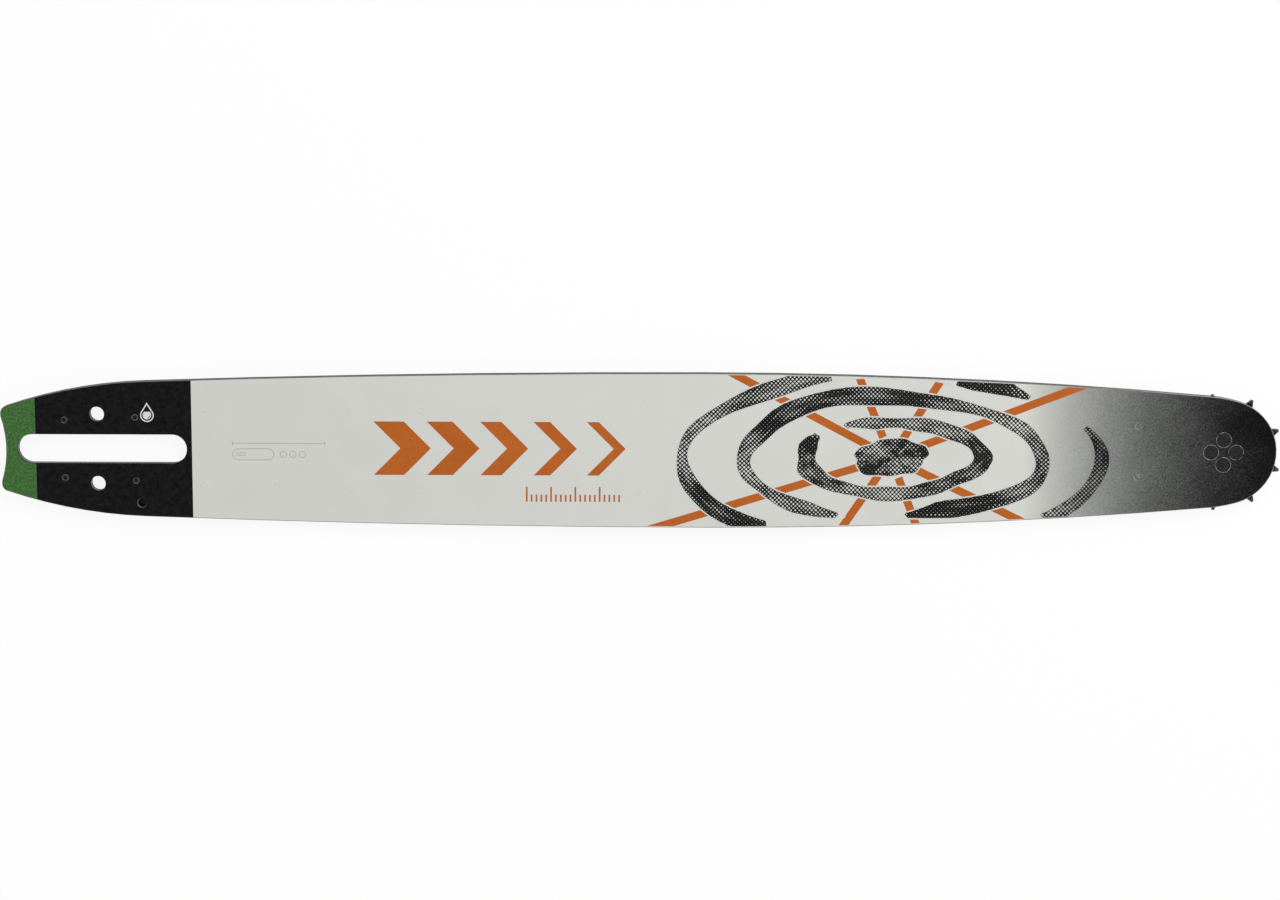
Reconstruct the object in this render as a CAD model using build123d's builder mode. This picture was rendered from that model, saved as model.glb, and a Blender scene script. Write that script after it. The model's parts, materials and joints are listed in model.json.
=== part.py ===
from build123d import *

import os
from math import asin, atan, cos, degrees, floor, pi, radians, sin, sqrt, tan

# Chainsaw guide bar: three welded steel plies with a sprocket nose, lying on the rear side plate.
# X runs from the tail to the nose, Y across the bar and Z out of the front face.
# The origin is the middle of the stud slot, on the rear face. Millimetres and degrees.

# Plies
SIDE_PLY = 1.55
GROOVE_WIDTH = 1.6
GROOVE_DEPTH = 7.2
RAIL_CHAMFER = 0.25

# Chain that the bar carries
CHAIN_PITCH = 9.525
CHAIN_LINE_HEIGHT = 5.6  # from the rails up to the chain's rivets

# Outline, as tangent arcs from the nose back to the tail
NOSE_REACH = 460.6  # from the slot's middle to the sprocket's axis
CHEEK_START = 74.0  # where the nose arc ends, as an angle from the bar's axis
CHEEK_RADIUS = 60.0
BELLY_HEIGHT = 64.1
BELLY_X = 248.0
SHOULDER_X = 17.4
SHOULDER_DROP = 4.0
TAIL_RADIUS = 197.0
TAIL_CORNER_RADIUS = 3.0
TAIL_WALL = 4.6  # between the slot and the hollow in the tail end
TAIL_HOLLOW = 2.1
TAIL_HOLLOW_RADIUS = 45.0

# Tail fixings
SLOT_LENGTH = 69.6
SLOT_WIDTH = 12.1
PIN_HOLE_DIAMETER = 6.2
PIN_HOLE_X = -2.0
PIN_HOLE_Y = 14.4
OIL_HOLE_DIAMETER = 3.4
OIL_HOLE_RIM = 0.4  # width of the bevel round its mouth
OIL_HOLE_X = 16.0
OIL_HOLE_EDGE = 5.6  # from the rail to the hole's centre

# Core windows and their filler
WINDOW_COUNT = 3
WINDOW_RIM = 7.0
WINDOW_RIB = 14.0
WINDOW_CORNER = 5.0
WINDOW_TAIL_LAND = 22.0  # solid core past the slot's end
WINDOW_NOSE_LAND = 18.0  # solid core before the sprocket's pocket
FILLER_CLEARANCE = 0.15

# Nose rivets
RIVET_COUNT = 4
RIVET_CIRCLE = 10.3
RIVET_HEAD_DIAMETER = 6.2
RIVET_SHANK_DIAMETER = 5.4
RIVET_CLEARANCE = 0.04

# Nose sprocket and its needle bearing
SPROCKET_TEETH = 9
SPROCKET_SIDE_CLEARANCE = 0.05
TOOTH_STANDOUT = 2.6  # how far the tips stand past the rails
TOOTH_TIP_WIDTH = 1.0
TOOTH_TIP_ROUND = 0.25
TOOTH_FLANK_ANGLE = 22.0  # of each flank from the tooth's middle line
TOOTH_PHASE = 22.0  # angle of the first tooth at rest
GULLET_ROUND = 2.5
SPROCKET_POCKET = 0.9  # room between the tips and the core
RACE_WALL = 1.5  # outside the rivet holes
ROLLER_DIAMETER = 3.2
ROLLER_RUNNING_CLEARANCE = 0.03
ROLLER_SPACING = 0.04  # least gap between neighbouring rollers

# Worked out: heights of the plies
core_bottom = SIDE_PLY
core_top = SIDE_PLY + GROOVE_WIDTH
bar_thickness = 2 * SIDE_PLY + GROOVE_WIDTH

# Worked out: the rail outline
nose_radius = CHAIN_PITCH / (2 * sin(pi / (2 * SPROCKET_TEETH))) - CHAIN_LINE_HEIGHT
nose_centre = Vector(NOSE_REACH, 0)
cheek_way = Vector(cos(radians(CHEEK_START)), sin(radians(CHEEK_START)))
cheek_centre = nose_centre - cheek_way * (CHEEK_RADIUS - nose_radius)
belly_rise = BELLY_HEIGHT / 2 - CHEEK_RADIUS - cheek_centre.Y
belly_run = cheek_centre.X - BELLY_X
front_slope = 2 * atan(belly_rise / belly_run)
front_radius = CHEEK_RADIUS + belly_run / sin(front_slope)
front_centre = Vector(BELLY_X, BELLY_HEIGHT / 2 - front_radius)
shoulder_run = BELLY_X - SHOULDER_X
rear_radius = (shoulder_run**2 + SHOULDER_DROP**2) / (2 * SHOULDER_DROP)
rear_centre = Vector(BELLY_X, BELLY_HEIGHT / 2 - rear_radius)
rear_slope = asin(shoulder_run / rear_radius)
shoulder_way = Vector(-sin(rear_slope), cos(rear_slope))
tail_centre = rear_centre + shoulder_way * (rear_radius - TAIL_RADIUS)
tail_end = -(SLOT_LENGTH / 2 + TAIL_WALL + TAIL_HOLLOW)
tail_hollow_x = tail_end + TAIL_HOLLOW - TAIL_HOLLOW_RADIUS

# Worked out: holes, as places on a side plate seen from outside
oil_hole_rail = tail_centre.Y + sqrt(TAIL_RADIUS**2 - (OIL_HOLE_X - tail_centre.X) ** 2)
oil_hole_place = (OIL_HOLE_X, OIL_HOLE_EDGE - oil_hole_rail)
pin_hole_places = [(PIN_HOLE_X, side * PIN_HOLE_Y) for side in (1, -1)]

# Worked out: windows in the core
tip_radius = nose_radius + TOOTH_STANDOUT
pocket_radius = tip_radius + SPROCKET_POCKET
windows_start = SLOT_LENGTH / 2 + WINDOW_TAIL_LAND
windows_end = NOSE_REACH - pocket_radius - WINDOW_NOSE_LAND
window_length = (windows_end - windows_start - (WINDOW_COUNT - 1) * WINDOW_RIB) / WINDOW_COUNT
window_pitch = window_length + WINDOW_RIB
window_middles = [windows_start + window_length / 2 + i * window_pitch for i in range(WINDOW_COUNT)]

# Worked out: sprocket and bearing
half_pitch = 180 / SPROCKET_TEETH
gullet_slope = tan(radians(half_pitch + TOOTH_FLANK_ANGLE))
gullet_mouth = radians(half_pitch) - asin(TOOTH_TIP_WIDTH / 2 / tip_radius)
gullet_point = tip_radius * (cos(gullet_mouth) - sin(gullet_mouth) / gullet_slope)
running_length = GROOVE_WIDTH - 2 * SPROCKET_SIDE_CLEARANCE
running_bottom = core_bottom + SPROCKET_SIDE_CLEARANCE
race_radius = (RIVET_CIRCLE + RIVET_SHANK_DIAMETER) / 2 + RIVET_CLEARANCE + RACE_WALL
roller_circle = race_radius + ROLLER_RUNNING_CLEARANCE + ROLLER_DIAMETER / 2
bore_radius = roller_circle + ROLLER_DIAMETER / 2 + ROLLER_RUNNING_CLEARANCE
roller_count = floor(pi / asin((ROLLER_DIAMETER + ROLLER_SPACING) / 2 / roller_circle))

# Planes that the plies are drawn on; the rear one faces down, so one function makes both side plates
front_inner_face = Plane.XY.offset(core_top)
rear_inner_face = Plane(origin=(0, 0, core_bottom), x_dir=(1, 0, 0), z_dir=(0, 0, -1))
core_face = Plane.XY.offset(core_bottom)
running_face = Plane(origin=(NOSE_REACH, 0, running_bottom))
star_face = running_face.rotated((0, 0, TOOTH_PHASE + half_pitch))


def rail_arcs(inset):
    """The area between the two rails, moved inwards by the inset, with a straight tail end."""
    tail_radius = TAIL_RADIUS - inset
    front_finish = 90 - degrees(front_slope)
    tail_start = 90 + degrees(rear_slope)
    tail_finish = 90 + degrees(asin((tail_centre.X - tail_end) / tail_radius))
    with BuildSketch() as area:
        with BuildLine():
            CenterArc(cheek_centre, CHEEK_RADIUS - inset, CHEEK_START, front_finish - CHEEK_START)
            CenterArc(front_centre, front_radius - inset, front_finish, degrees(front_slope))
            CenterArc(rear_centre, rear_radius - inset, 90, degrees(rear_slope))
            tail = CenterArc(tail_centre, tail_radius, tail_start, tail_finish - tail_start)
            mirror(about=Plane.XZ)
            CenterArc(nose_centre, nose_radius - inset, -CHEEK_START, 2 * CHEEK_START)
            corner = tail @ 1
            Line(corner, (corner.X, -corner.Y))
        make_face()
    return area.sketch


def bar_outline(inset):
    """A ply's outline: the area between its rails, with rounded tail corners and the hollow between them."""
    area = rail_arcs(inset)
    with BuildSketch() as outline:
        add(area)
        fillet(outline.vertices().group_by(Axis.X)[0], TAIL_CORNER_RADIUS)
        with Locations((tail_hollow_x, 0)):
            Circle(TAIL_HOLLOW_RADIUS, mode=Mode.SUBTRACT)
    return outline.sketch


def tail_fixings():
    """The stud slot and the two tensioner-pin holes, which go through all three plies."""
    with BuildSketch() as fixings:
        SlotOverall(SLOT_LENGTH, SLOT_WIDTH)
        with Locations(*pin_hole_places):
            Circle(PIN_HOLE_DIAMETER / 2)
    return fixings.sketch


def side_plate(inner_face):
    """One side plate, raised from the plane of its inner face; seen from outside, both look alike."""
    outer_face = inner_face.offset(SIDE_PLY)
    with BuildPart() as plate:
        with BuildSketch(inner_face):
            add(rail_outline)
            add(through_fixings, mode=Mode.SUBTRACT)
        extrude(amount=SIDE_PLY)
        outside = plate.faces().sort_by(Axis(inner_face.origin, inner_face.z_dir))[-1]
        chamfer(outside.outer_wire().edges(), RAIL_CHAMFER)
        with Locations(outer_face):
            with Locations(oil_hole_place):
                CounterSinkHole(
                    OIL_HOLE_DIAMETER / 2,
                    OIL_HOLE_DIAMETER / 2 + OIL_HOLE_RIM,
                    counter_sink_angle=90,
                )
            with Locations(nose_centre):
                with PolarLocations(RIVET_CIRCLE / 2, RIVET_COUNT):
                    CounterSinkHole(
                        RIVET_SHANK_DIAMETER / 2 + RIVET_CLEARANCE,
                        RIVET_HEAD_DIAMETER / 2 + RIVET_CLEARANCE,
                        counter_sink_angle=90,
                    )
    return plate


def window_block(middle, clearance):
    """What one window of the core can hold: it keeps an even rim under the groove, less a clearance."""
    area = rail_arcs(GROOVE_DEPTH + WINDOW_RIM + clearance)
    with BuildPart() as block:
        with BuildSketch(core_face):
            add(area)
            with Locations((middle, 0)):
                Rectangle(window_length - 2 * clearance, BELLY_HEIGHT, mode=Mode.INTERSECT)
        extrude(amount=GROOVE_WIDTH)
        upright_edges = block.edges().filter_by(Axis.Z).group_by(Axis.X)
        fillet(upright_edges[0] + upright_edges[-1], WINDOW_CORNER - clearance)
    return block


# Outlines that the plies share
rail_outline = bar_outline(0)
core_outline = bar_outline(GROOVE_DEPTH)
through_fixings = tail_fixings()

# Side plates
front_side_plate = side_plate(front_inner_face)
rear_side_plate = side_plate(rear_inner_face)

# Core plate, set back from the rails to leave the chain groove, with a pocket for the sprocket
windows = [window_block(middle, 0) for middle in window_middles]
with BuildPart() as core_plate:
    with BuildSketch(core_face):
        add(core_outline)
        add(through_fixings, mode=Mode.SUBTRACT)
        with Locations(nose_centre):
            Circle(pocket_radius, mode=Mode.SUBTRACT)
    extrude(amount=GROOVE_WIDTH)
    for window in windows:
        add(window.part, mode=Mode.SUBTRACT)

# Polymer filler in each window, counted from the tail
core_fillers = [window_block(middle, FILLER_CLEARANCE) for middle in window_middles]

# Nose sprocket: a star whose gullets are wedges, cut from the tip circle and rounded at the bottom
wedge_corner = Vector(tip_radius, tip_radius * gullet_slope)
with BuildPart() as nose_sprocket:
    with BuildSketch(star_face) as star:
        Circle(tip_radius)
        with PolarLocations(gullet_point, SPROCKET_TEETH):
            Polygon((0, 0), wedge_corner, (wedge_corner.X, -wedge_corner.Y), align=None, mode=Mode.SUBTRACT)
        corners = star.vertices().group_by(lambda corner: round(Vector(corner).length, 3))
        fillet(corners[0], GULLET_ROUND)
        fillet(corners[-1], TOOTH_TIP_ROUND)
        Circle(bore_radius, mode=Mode.SUBTRACT)
    extrude(amount=running_length)

# Bearing race, clamped between the side plates by the rivets
with BuildPart() as bearing_inner_race:
    with BuildSketch(core_face):
        with Locations(nose_centre):
            Circle(race_radius)
            with PolarLocations(RIVET_CIRCLE / 2, RIVET_COUNT):
                Circle(RIVET_SHANK_DIAMETER / 2 + RIVET_CLEARANCE, mode=Mode.SUBTRACT)
    extrude(amount=GROOVE_WIDTH)

# Needle rollers between the race and the sprocket's bore
bearing_rollers = []
for place in PolarLocations(roller_circle, roller_count):
    with BuildPart() as bearing_roller:
        with BuildSketch(running_face):
            with Locations(place):
                Circle(ROLLER_DIAMETER / 2)
        extrude(amount=running_length)
    bearing_rollers.append(bearing_roller)

# One rivet, turned about its own axis, with a flush countersunk head at each end
head_radius = RIVET_HEAD_DIAMETER / 2
shank_radius = RIVET_SHANK_DIAMETER / 2
head_depth = head_radius - shank_radius
with BuildPart() as rivet:
    with BuildSketch(Plane.XZ):
        with BuildLine():
            Polyline(
                (0, 0),
                (head_radius, 0),
                (shank_radius, head_depth),
                (shank_radius, bar_thickness - head_depth),
                (head_radius, bar_thickness),
                (0, bar_thickness),
                close=True,
            )
        make_face()
    revolve(axis=Axis.Z)

with BuildPart() as nose_rivets:
    with Locations(nose_centre):
        with PolarLocations(RIVET_CIRCLE / 2, RIVET_COUNT):
            add(rivet.part)

# Every piece under its own name
pieces = {
    "front_side_plate": front_side_plate,
    "rear_side_plate": rear_side_plate,
    "core_plate": core_plate,
    "nose_sprocket": nose_sprocket,
    "bearing_inner_race": bearing_inner_race,
    "nose_rivets": nose_rivets,
}
for i, core_filler in enumerate(core_fillers, start=1):
    pieces[f"core_filler_{i}"] = core_filler
for i, bearing_roller in enumerate(bearing_rollers, start=1):
    pieces[f"bearing_roller_{i:02d}"] = bearing_roller

os.makedirs("parts", exist_ok=True)
for name, piece in pieces.items():
    piece.part.label = name
    export_step(piece.part, f"parts/{name}.step")
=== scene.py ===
import json

import bpy
import numpy as np
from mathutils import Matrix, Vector


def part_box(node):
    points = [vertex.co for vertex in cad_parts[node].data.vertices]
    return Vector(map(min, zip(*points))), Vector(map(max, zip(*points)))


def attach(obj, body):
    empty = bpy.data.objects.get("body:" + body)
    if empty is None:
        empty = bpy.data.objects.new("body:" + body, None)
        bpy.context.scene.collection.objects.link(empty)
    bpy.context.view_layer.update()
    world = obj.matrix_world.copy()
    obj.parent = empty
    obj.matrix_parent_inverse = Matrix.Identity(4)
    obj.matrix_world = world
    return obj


# Chainsaw guide bar with a sprocket nose, lying on its rear face.
# X runs from the tail to the nose, Y across the bar and Z out of the front face.
# The origin is the middle of the stud slot. Sizes are millimetres, and MM turns one into metres.

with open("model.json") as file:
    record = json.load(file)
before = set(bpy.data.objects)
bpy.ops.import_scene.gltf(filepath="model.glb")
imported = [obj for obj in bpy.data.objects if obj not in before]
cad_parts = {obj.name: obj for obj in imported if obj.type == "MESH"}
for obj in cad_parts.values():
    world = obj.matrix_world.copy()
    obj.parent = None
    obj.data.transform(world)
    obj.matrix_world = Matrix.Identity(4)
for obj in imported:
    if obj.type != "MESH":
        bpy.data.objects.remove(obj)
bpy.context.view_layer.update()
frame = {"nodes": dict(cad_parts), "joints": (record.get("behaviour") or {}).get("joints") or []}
MM = 0.001

# Places taken from the frame, the faces' in metres
face_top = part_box("front_side_plate")[1].z
face_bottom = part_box("rear_side_plate")[0].z
nose_x = next(joint for joint in frame["joints"] if joint["name"] == "sprocket_spin")["pos_m"][0] / MM

# Paint along the bar
GREEN_END = -27.2
BLACK_END = 36.9
FADE_START = 378.0
FADE_END = 484.0
FADE_CURVE = 1.3  # above 1, the fade falls fast at first and then levels out
FADE_STEPS = 10
FADE_GRAIN = 0.9  # how far grain and clouds break the fade up, as shares of its length
FADE_CLOUD = 0.2
SMUDGE_X = 471.0
SMUDGE_Y = 10.0
SMUDGE_LENGTH = 22.0  # half of it, as is the width
SMUDGE_WIDTH = 9.0
SMUDGE_DEPTH = 0.1  # as a share of the fade
PAINT_DEPTH = 0.3  # below each outer face, so that the inner faces stay bare
OPENINGS_START = -37.5  # past the tail's end wall, so that only the openings' walls take some spray
OPENINGS_REACH = 18.0  # across the bar, from its middle line

# Surfaces
NOISE_MIDDLE = 0.5
FLAT_LIMIT = 0.9  # how squarely a flat face looks along Z, at the least
SATIN_SHINE = 0.08  # specular level of paint and ink
STEEL_ROUGHNESS = 0.3  # of the side plates' edges
PAINT_ROUGHNESS = 0.44  # of their faces
SPRAY_ROUGHNESS = 0.9  # of their openings' walls
MOTTLE_ROUGHNESS = 0.06  # what mottling adds to each of the three
GRAIN_RELIEF = 0.6  # height of the paint's grain, as a share of its mottling's
STAIN_ROUGHNESS = 0.16  # what stains add to bare steel
TOOTH_ROUGHNESS = 0.2
TOOTH_WEAR = 1.2  # length of each tooth that the chain has worn bright
WEAR_RAGGEDNESS = 0.8  # how far stains shift the wear, as a share of its length
# Worn beads show steel in patches, and their bright tone is also a painted highlight along each crest
BEAD_METAL = 0.6  # share of a worn bead that shows steel

# Films of ink, each layer lying a step above the one before
FILM_THICKNESS = 0.008
FILM_STEP = 0.012
FILM_MARGIN = 0.3  # kept clear along the rails
FACE_TOLERANCE = 0.01  # within which a corner counts as lying on the front face
RAIL_INNER = 15.45  # across the bar, with every corner of the rails beyond it

# Row of chevrons that points to the nose
CHEVRON_COUNT = 5
CHEVRON_START = 111.5
CHEVRON_END = 215.0
CHEVRON_Y = 0.7
CHEVRON_HEIGHT = 22.2
CHEVRON_POINT = 11.0  # how far each chevron's point leads its ends
CHEVRON_BAND = 12.5  # length of the first chevron's arms, along the bar
CHEVRON_THINNING = 1.9  # by which each next one is shorter

# Tick scale below the chevrons
TICK_START = 174.0
TICK_PITCH = 2.0
TICK_COUNT = 20
TICK_WIDTH = 0.7
TICK_FOOT = -21.4
TICK_HEIGHTS = (6.2, 3.0, 3.0, 3.0, 3.0)  # of every five ticks

# Growth rings, drawn as brush strokes
RING_X = 324.0
RING_Y = -2.5
RING_STRETCH = 2.45  # along the bar
RING_COUNT = 4
RING_FIRST = 4.6  # radius across the bar, as is the step from ring to ring
RING_STEP = 10.2
RING_STROKE = 3.1  # half the mean width
RING_SWELL = 1.2  # by which the half width grows and shrinks along the ring
RING_GAP = 0.06  # share of a turn that each stroke leaves open
RING_TAPER = 0.05  # share of a turn over which its ends round off
RING_BREAK = 2.3  # turn from one ring's opening to the next, in radians
RING_SAMPLES = 420
PITH_SAMPLES = 17  # along each side of the grid under the pith
KNOCK_OUT = 0.55  # bare rim round each stroke
NARROWEST = 1e-6  # stands in for the width of a stroke beyond its ends

# Waves along a stroke: height, waves in a turn, shift from ring to ring and lean across the stroke
WOBBLE_WAVES = ((0.035, 3, 1.0, 0.0), (0.02, 5, 2.1, 0.0))
SWELL_WAVES = ((0.5, 2, 1.7, 0.0), (0.3, 5, 2.9, 0.0), (0.2, 11, 0.7, 0.0))
TONE_WAVES = ((0.17, 2, 1.9, 0.0), (0.1, 5, 0.6, 0.0), (0.09, 11, 2.3, 1.4), (0.07, 17, 1.0, -2.2))

# Ink of the strokes, from 0 for none to 1 for solid, and its halftone screen
TONE_MIDDLE = 0.74
TONE_RIM = 0.1  # darker at a stroke's edges
TONE_RANGE = (0.45, 0.97)
STREAK_DEPTH = 0.08
STREAK_TURN = 8.0  # from a stroke's middle to its edge, in radians
STREAK_SWAY = 2.0  # in radians
STREAK_SWAYS = 3  # in a turn
SCREEN_PITCH = 1.2
EDGE_PULL = 0.85  # share of the way that the screen's ragged edge is drawn to the stroke's edge
SLOPE_STEP = 0.01  # over which the slope of a stroke's edge is taken
HOLE_LIMIT = 0.85  # of the room between a cell's middle and its nearest side

# Stripes that run out behind the rings, at these angles in degrees
RAY_ANGLES = (21, 58, 112, 152, 197, 236, 291, 334)
RAY_WIDTH = 3.3
RAY_INNER = 9.0
RAY_TRIES = 20  # to find the rail

# Oil drop beside the upper pin hole
DROP_X = 18.7
DROP_Y = 14.05
DROP_RADIUS = 2.8
DROP_TIP = 5.3  # from the round part's centre
DROP_LINE = 0.5
OIL_RADIUS = 1.75
OIL_FOOT = -0.999  # lowest row as a share of the radius, short of the point where a row has no width
OIL_LEVEL = 1.45
OIL_WAVE = 0.12
OIL_CALM = 6  # power by which the wave dies away below the level
OIL_ROWS = 24
OIL_COLUMNS = 17
GLINT_RADIUS = 1.2
GLINT_LINE = 0.26
GLINT_ANGLES = (-85, -8)  # in degrees

# Faint diagram behind the slot
DIAGRAM_X = 53.5
DIAGRAM_Y = -2.0
DIAGRAM_LINE = 0.28
DIAGRAM_BAR = (17.0, 4.6)  # length and height
DIAGRAM_SLOT = 0.25  # height as a share of the bar's
DIAGRAM_LINKS = 3
DIAGRAM_LINK = 2.6
DIAGRAM_LINK_PITCH = 3.9
DIAGRAM_RULE = 38.0
DIAGRAM_RULE_END = 2.0  # height of the mark at each end of the rule

# Weld marks and rivet rims, as low beads on the faces
TAIL_WELDS = ((-15.4, 12.0), (13.7, 13.1))
NOSE_WELDS = ((425.1, 10.6),)
WELD_RADIUS = 1.15
WELD_HALF_WIDTH = 0.27
WELD_HEIGHT = 0.07
BODY_WELD_START = 42.0
BODY_WELD_PITCH = 29.8
BODY_WELD_COUNT = 7
BODY_WELD_INSET = 14.2  # from the rails
BODY_WELD_HEIGHT = 0.03  # under the white paint
RIVET_COUNT = 4
RIVET_CIRCLE = 10.3  # diameter on which the rivets stand
RIVET_RADIUS = 3.1
RIM_HALF_WIDTH = 0.14
RIM_HEIGHT = 0.05
BEAD_SAMPLES = 56  # round each bead
SECTION_SAMPLES = 12  # round its section

# Camera
CAMERA_DISTANCE = 1250.0
CAMERA_TILT = 9.0  # in degrees, as is the roll
CAMERA_ROLL = 0.19
CAMERA_TARGET = (220.25, 0.3, 4.7)
SENSOR_WIDTH = 36.0
VIEW_WIDTH = 525.7  # what the picture's width takes in at the front face

# Floor and light
FLOOR_REACH = 12000.0
FLOOR_GAP = 0.1  # clear of the lowest bead
FLOOR_GREY = 0.9
FLOOR_GLOW = 0.9  # share of the seen floor's light that is its own
HORIZON_LIGHT = 1.23
CEILING_LIGHT = 0.1
CEILING_START = 0.6  # height on a sphere of radius 1 at which the horizon starts to dim
CEILING_BLEND = 0.25
KEY_POWER = 13.0  # in watts
KEY_SIZE = (1200.0, 500.0)
KEY_PLACE = (900.0, 900.0, 900.0)
KEY_TARGET = (250.0, 0.0, 0.0)

# Names of two material slots of the record
PLATE_SLOT = "side_plate_finish"
RIVET_SLOT = "rivet_steel"

# Sockets of the Mix node when it mixes colours
MIX_SHARE = 0
MIX_FIRST = 6
MIX_SECOND = 7
MIX_RESULT = 2


def screen(red, green, blue):
    """The scene-linear colour that an sRGB screen shows as these values from 0 to 255."""
    share = np.array([red, green, blue]) / 255
    linear = np.where(share <= 0.04045, share / 12.92, ((share + 0.055) / 1.055) ** 2.4)
    return (*linear.tolist(), 1.0)


def grey(level):
    """A scene-linear grey."""
    return (level, level, level, 1.0)


# Tones of the fade's two ends as a screen shows them, and what its middle adds to the straight mix
BRIGHT_BODY = (206, 206, 200)
DARK_NOSE = (12, 12, 12)
COOL_MIDDLE = (-1.5, 0, 0.5)

# Dark and bright tone of each finish
WHITE_PAINT = (screen(202, 203, 197), screen(206, 207, 201))
BLACK_PAINT = (screen(0, 0, 1), screen(33, 33, 34))
GREEN_PAINT = (screen(26, 70, 20), screen(88, 129, 76))
RIVET_PAINT = (screen(18, 18, 18), screen(54, 54, 54))
RIVET_SHANK = (screen(104, 103, 100), screen(136, 135, 132))
OILED_EDGE = (screen(56, 55, 53), screen(104, 103, 101))
BRIGHT_EDGE = (screen(112, 112, 110), screen(172, 172, 169))
OILED_TOOTH = (screen(38, 36, 32), screen(82, 78, 70))
WORN_TOOTH = (screen(132, 130, 124), screen(200, 198, 192))
CORE_STEEL = (screen(84, 83, 80), screen(132, 131, 127))
BEARING_STEEL = (screen(150, 150, 148), screen(188, 188, 186))
FILLER_BLACK = (screen(22, 22, 22), screen(44, 44, 43))
ORANGE_INK = (screen(166, 86, 34), screen(186, 100, 42))
BLACK_INK = (screen(16, 16, 16), screen(34, 34, 34))
WHITE_INK = (screen(206, 206, 202), screen(222, 222, 218))
GREY_INK = (screen(158, 158, 154), screen(176, 176, 172))
# Worn beads: the bright tone is lighter than the wear alone, a painted highlight along each bead's crest
TAIL_BEAD_WEAR_AND_HIGHLIGHT = (screen(28, 28, 28), screen(112, 112, 112))
NOSE_BEAD_WEAR_AND_HIGHLIGHT = (screen(104, 104, 102), screen(176, 176, 173))
RIVET_BEAD_WEAR_AND_HIGHLIGHT = (screen(40, 40, 39), screen(158, 158, 156))


class Signal:
    """A number or colour on its way through a material; sums and products of signals become nodes."""

    def __init__(self, tree, socket):
        self.tree = tree
        self.socket = socket

    def join(self, operation, *others):
        """The result of a Math node on this signal and the others."""
        node = self.tree.nodes.new("ShaderNodeMath")
        node.operation = operation
        for socket, value in zip(node.inputs, (self, *others)):
            feed(self.tree, value, socket)
        return Signal(self.tree, node.outputs[0])

    def __add__(self, other):
        return self.join("ADD", other)

    def __sub__(self, other):
        return self.join("SUBTRACT", other)

    def __mul__(self, other):
        return self.join("MULTIPLY", other)

    def __truediv__(self, other):
        return self.join("DIVIDE", other)

    def below(self, limit):
        """1 where the signal is under the limit, and 0 elsewhere."""
        return self.join("LESS_THAN", limit)

    def above(self, limit):
        """1 where the signal is over the limit, and 0 elsewhere."""
        return self.join("GREATER_THAN", limit)

    def size(self):
        """The signal without its sign."""
        return self.join("ABSOLUTE")

    def rest(self):
        """What the signal leaves of 1."""
        return self * -1.0 + 1.0

    def clamped(self):
        """The signal kept from 0 to 1."""
        node = self.tree.nodes.new("ShaderNodeClamp")
        feed(self.tree, self, node.inputs["Value"])
        return Signal(self.tree, node.outputs[0])


def feed(tree, value, socket):
    """Links a signal to a socket, or sets a plain value on it."""
    if isinstance(value, Signal):
        tree.links.new(value.socket, socket)
    else:
        socket.default_value = value


def new_material(name):
    """A new material, its node tree and the inputs of its Principled shader."""
    material = bpy.data.materials.new(name)
    material.use_nodes = True
    tree = material.node_tree
    return material, tree, tree.nodes["Principled BSDF"].inputs


def axes(tree, coordinates="Object"):
    """A texture coordinate's x, y and z. Object gives a point's place on its piece, Normal the way that
    its surface faces, and Generated, in the world's tree, the way that a ray runs."""
    source = tree.nodes.new("ShaderNodeTexCoord")
    split = tree.nodes.new("ShaderNodeSeparateXYZ")
    tree.links.new(source.outputs[coordinates], split.inputs[0])
    return [Signal(tree, axis) for axis in split.outputs]


def on_flat(tree):
    """1 where a surface faces squarely up or down, and 0 on edges and walls."""
    return axes(tree, "Normal")[2].size().above(FLAT_LIMIT)


def noise(tree, speck, detail=2.0, stretch=(1, 1, 1)):
    """Soft noise from 0 to 1 in specks of about this size in millimetres, drawn out by the stretch."""
    source = tree.nodes.new("ShaderNodeTexCoord")
    mapping = tree.nodes.new("ShaderNodeMapping")
    mapping.inputs["Scale"].default_value = [1 / (speck * MM * factor) for factor in stretch]
    tree.links.new(source.outputs["Object"], mapping.inputs["Vector"])
    texture = tree.nodes.new("ShaderNodeTexNoise")
    texture.inputs["Scale"].default_value = 1.0
    texture.inputs["Detail"].default_value = detail
    tree.links.new(mapping.outputs[0], texture.inputs["Vector"])
    return Signal(tree, texture.outputs["Fac"])


def contrast(signal, gain):
    """Noise spread about its middle, kept from 0 to 1."""
    return ((signal - NOISE_MIDDLE) * gain + NOISE_MIDDLE).clamped()


def between(first, second, share):
    """Two signals mixed, with this share of the second."""
    return first * (1 - share) + second * share


def blend_colour(tree, share, first, second):
    """The first colour where the share is 0 and the second where it is 1."""
    node = tree.nodes.new("ShaderNodeMix")
    node.data_type = "RGBA"
    feed(tree, share, node.inputs[MIX_SHARE])
    feed(tree, first, node.inputs[MIX_FIRST])
    feed(tree, second, node.inputs[MIX_SECOND])
    return Signal(tree, node.outputs[MIX_RESULT])


def roughen(tree, inputs, pattern, low, high):
    """Roughness that is low where the pattern is 0 and high where it is 1."""
    feed(tree, pattern * (high - low) + low, inputs["Roughness"])


def bump(tree, inputs, height, depth):
    """Raises the surface by the height signal times a depth in millimetres."""
    node = tree.nodes.new("ShaderNodeBump")
    node.inputs["Distance"].default_value = depth * MM
    feed(tree, height, node.inputs["Height"])
    tree.links.new(node.outputs[0], inputs["Normal"])


def fade_reach(x):
    """How far along the fade a point lies: 0 at its start and 1 at its end."""
    return (x - FADE_START * MM) / ((FADE_END - FADE_START) * MM)


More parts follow.
